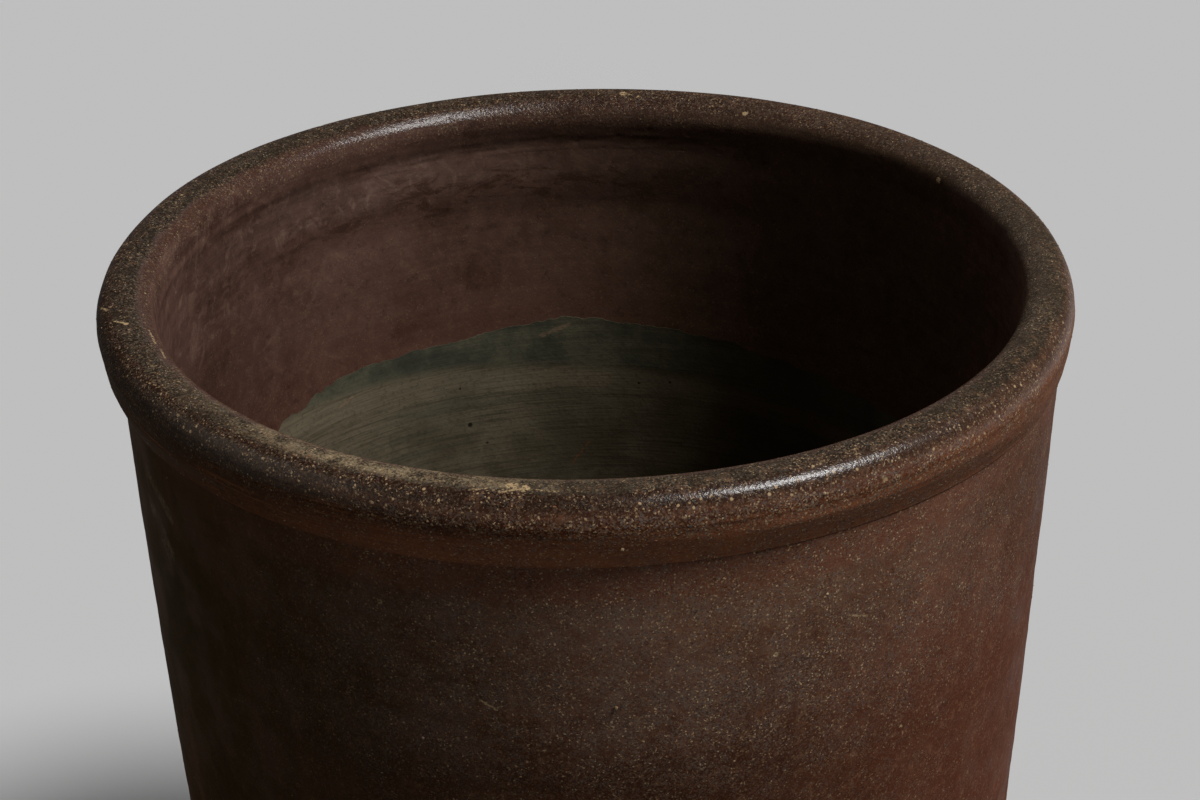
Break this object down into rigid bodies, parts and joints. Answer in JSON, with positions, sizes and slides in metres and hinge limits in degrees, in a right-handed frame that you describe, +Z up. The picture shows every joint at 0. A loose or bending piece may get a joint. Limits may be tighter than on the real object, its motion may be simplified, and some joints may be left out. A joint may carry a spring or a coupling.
{
  "type": "stoneware crock",
  "caption": "Large tapering salt-glazed stoneware crock with a thick rolled rim, a flat foot and a dried grey-green coat inside.",
  "frame": {"origin": "middle of the flat underside", "axes": "+Z up along the crock's axis; +Y away from the camera that took the picture"},
  "size_m": [0.48, 0.48, 0.53],
  "materials": {
    "base_stoneware": "salt glaze on the side, bare and matt underneath",
    "wall_stoneware": "brown salt glaze, satin, worn",
    "rim_stoneware": "brown salt glaze, glossy on the shoulder, speckled where worn",
    "dried_residue": "dull grey-green dried film"
  },
  "bodies": {
    "root": {"base_slab": "base_stoneware", "body_wall": "wall_stoneware", "rim_collar": "rim_stoneware", "residue_coat": "dried_residue"}
  },
  "joints": []
}
